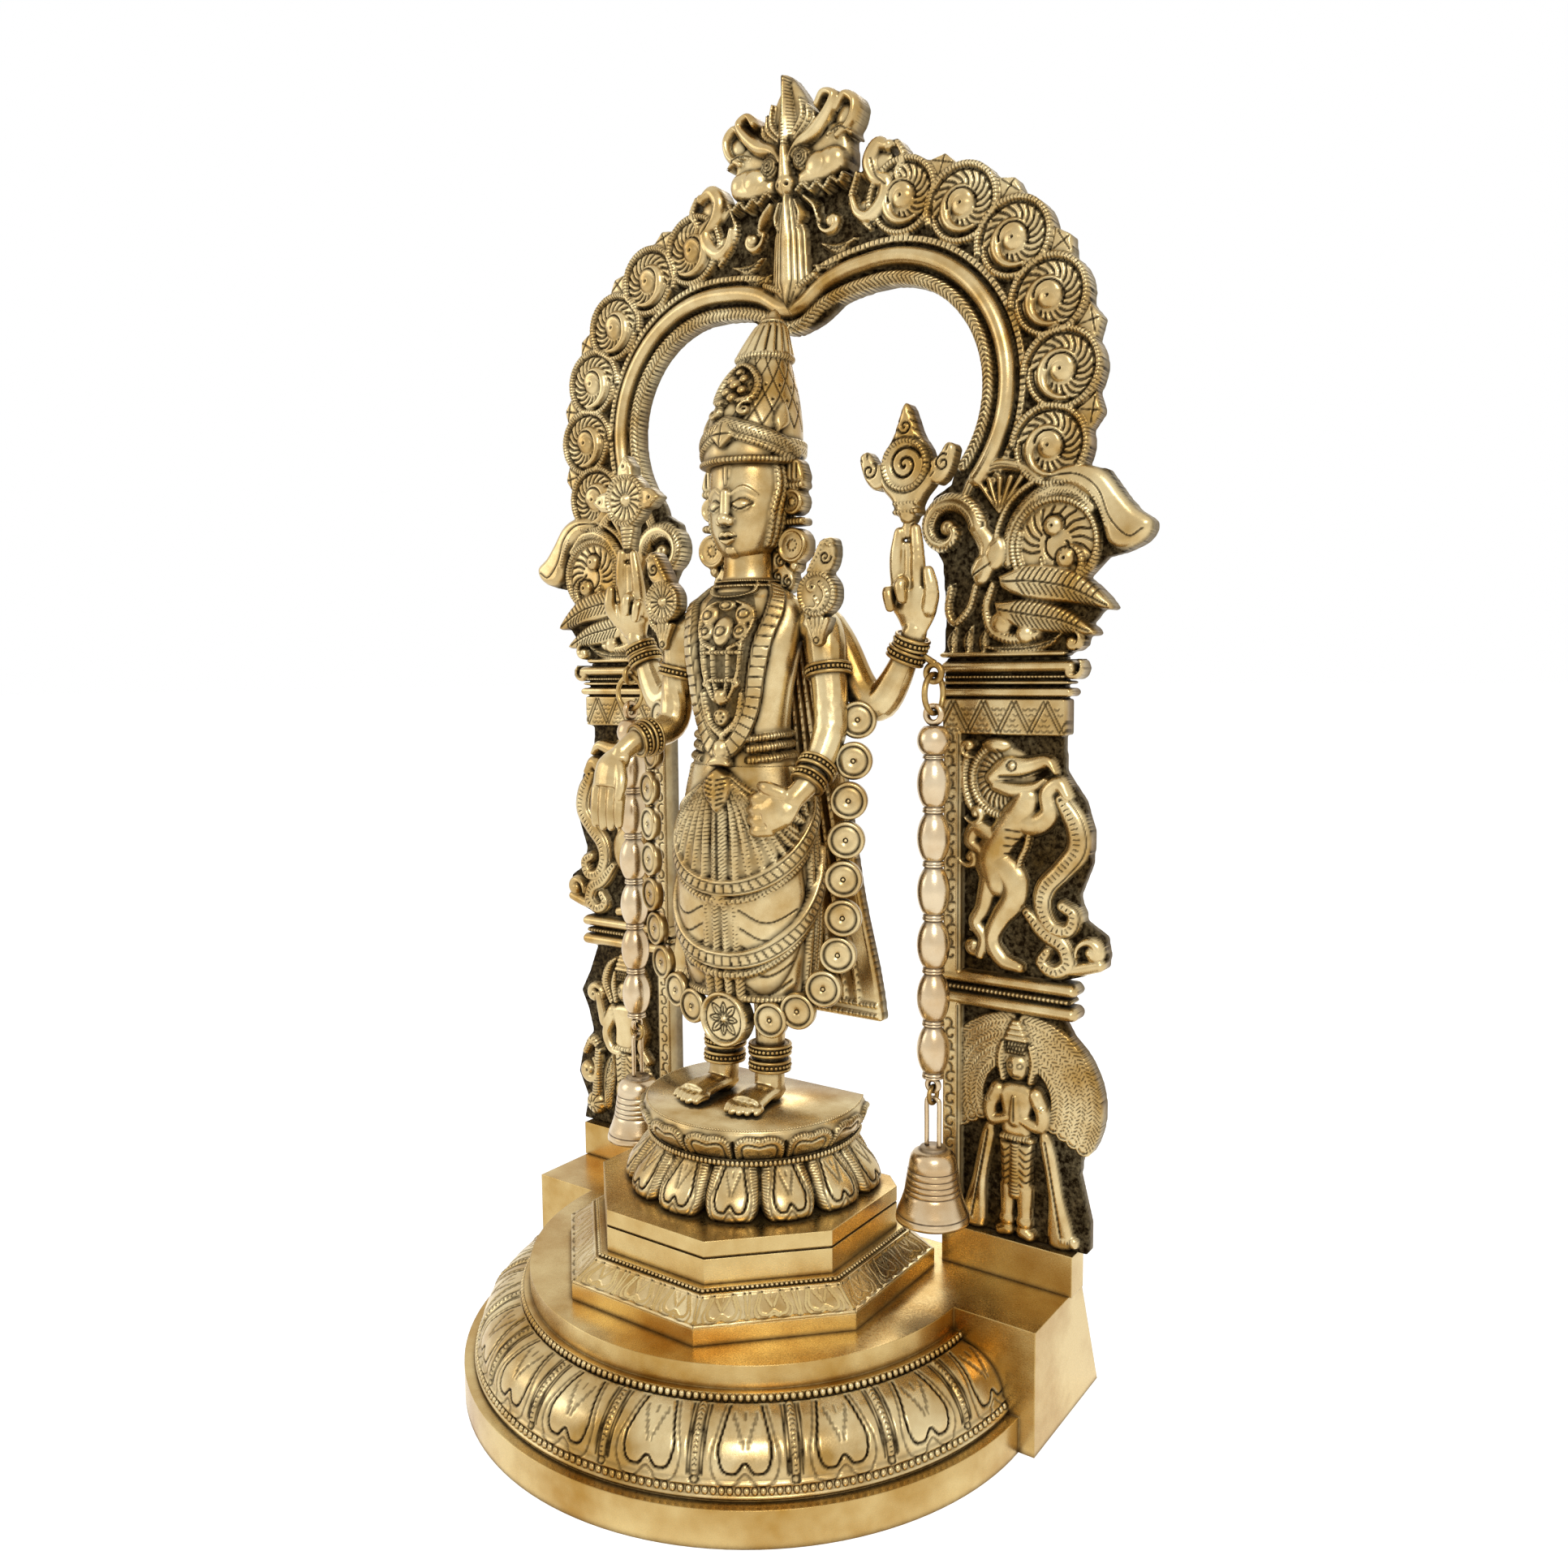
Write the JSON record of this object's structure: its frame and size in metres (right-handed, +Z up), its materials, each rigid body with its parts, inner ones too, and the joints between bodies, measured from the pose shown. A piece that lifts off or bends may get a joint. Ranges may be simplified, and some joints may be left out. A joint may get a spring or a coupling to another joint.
{
  "type": "standing temple figure with arch and hanging bells",
  "caption": "Cast brass standing four-armed temple figure on a lotus and stepped round plinth, under a scrolled arch, with a bell chain swinging from each raised wrist.",
  "frame": {"origin": "middle of the bounding box at the underside of the plinth", "axes": "+Z up, the figure faces -Y, +X to the right of someone facing it"},
  "size_m": [0.406, 0.24, 0.7032],
  "materials": {
    "antique_brass": "lost-wax cast brass, engraved, polished high spots and dark patina in the recesses",
    "polished_brass": "filed and buffed cast brass",
    "bell_brass": "lathe-turned brass with a pinkish tone",
    "wire_brass": "bent brass wire and cast eyes",
    "bolt_steel": "plain zinc-plated bolts, hidden under the plinth"
  },
  "bodies": {
    "statue": {"arch_frame": "antique_brass", "back_cloak": "antique_brass", "back_left_arm": "antique_brass", "back_right_arm": "antique_brass", "base_plinth": "polished_brass", "crown": "antique_brass", "dress_skirt": "antique_brass", "footing_bolts": "bolt_steel", "front_left_arm": "antique_brass", "front_right_arm": "antique_brass", "garland_medallion": "antique_brass", "head": "antique_brass", "held_conch": "antique_brass", "held_disc": "antique_brass", "left_arch_rope": "antique_brass", "left_arch_tube": "polished_brass", "left_attendant": "antique_brass", "left_column": "antique_brass", "left_ear_ornament": "antique_brass", "left_footing": "polished_brass", "left_garland": "antique_brass", "left_leg": "antique_brass", "left_makara": "antique_brass", "left_rearing_lion": "antique_brass", "left_scroll_row": "antique_brass", "left_shoulder_ornament": "antique_brass", "left_wrist_eye": "wire_brass", "lion_mask": "antique_brass", "lotus_lower_petals": "antique_brass", "lotus_upper_petals": "antique_brass", "mask_tongue": "antique_brass", "octagon_lower_tier": "polished_brass", "octagon_upper_block": "polished_brass", "pedestal_bolt": "bolt_steel", "right_arch_rope": "antique_brass", "right_arch_tube": "polished_brass", "right_attendant": "antique_brass", "right_column": "antique_brass", "right_ear_ornament": "antique_brass", "right_footing": "polished_brass", "right_garland": "antique_brass", "right_leg": "antique_brass", "right_makara": "antique_brass", "right_rearing_lion": "antique_brass", "right_scroll_row": "antique_brass", "right_shoulder_ornament": "antique_brass", "right_wrist_eye": "wire_brass", "torso": "antique_brass"},
    "left_ring_body": {"left_top_ring": "wire_brass"},
    "left_rod_body": {"left_bell_rod": "bell_brass"},
    "left_link_body": {"left_lower_link": "wire_brass"},
    "left_bell_body": {"left_bell": "bell_brass"},
    "left_clapper_body": {"left_clapper": "bell_brass"},
    "right_ring_body": {"right_top_ring": "wire_brass"},
    "right_rod_body": {"right_bell_rod": "bell_brass"},
    "right_link_body": {"right_lower_link": "wire_brass"},
    "right_bell_body": {"right_bell": "bell_brass"},
    "right_clapper_body": {"right_clapper": "bell_brass"}
  },
  "joints": [
    {"name": "left_ring_swing", "type": "hinge", "parent": "statue", "child": "left_ring_body", "pos_m": [-0.102, 0.057, 0.3753], "axis": [0, 1, 0], "range_deg": [-0.5, 12]},
    {"name": "left_rod_swing", "type": "hinge", "parent": "left_ring_body", "child": "left_rod_body", "pos_m": [-0.102, 0.057, 0.3594], "axis": [1, 0, 0], "range_deg": [-35, 0.3]},
    {"name": "left_link_swing", "type": "hinge", "parent": "left_rod_body", "child": "left_link_body", "pos_m": [-0.102, 0.057, 0.1643], "axis": [0, 1, 0], "range_deg": [-1, 15]},
    {"name": "left_bell_swing", "type": "hinge", "parent": "left_link_body", "child": "left_bell_body", "pos_m": [-0.102, 0.057, 0.1582], "axis": [1, 0, 0], "range_deg": [-30, 1]},
    {"name": "left_clapper_swing", "type": "hinge", "parent": "left_bell_body", "child": "left_clapper_body", "pos_m": [-0.102, 0.057, 0.1271], "axis": [1, 0, 0], "range_deg": [-17, 17]},
    {"name": "right_ring_swing", "type": "hinge", "parent": "statue", "child": "right_ring_body", "pos_m": [0.102, 0.057, 0.3753], "axis": [1, 0, 0], "range_deg": [-35, 0.3]},
    {"name": "right_rod_swing", "type": "hinge", "parent": "right_ring_body", "child": "right_rod_body", "pos_m": [0.102, 0.057, 0.3594], "axis": [0, 1, 0], "range_deg": [-12, 0.3]},
    {"name": "right_link_swing", "type": "hinge", "parent": "right_rod_body", "child": "right_link_body", "pos_m": [0.102, 0.057, 0.1643], "axis": [1, 0, 0], "range_deg": [-15, 0.5]},
    {"name": "right_bell_swing", "type": "hinge", "parent": "right_link_body", "child": "right_bell_body", "pos_m": [0.102, 0.057, 0.1582], "axis": [0, 1, 0], "range_deg": [-25, 1]},
    {"name": "right_clapper_swing", "type": "hinge", "parent": "right_bell_body", "child": "right_clapper_body", "pos_m": [0.102, 0.057, 0.1271], "axis": [0, 1, 0], "range_deg": [-17, 17]}
  ]
}
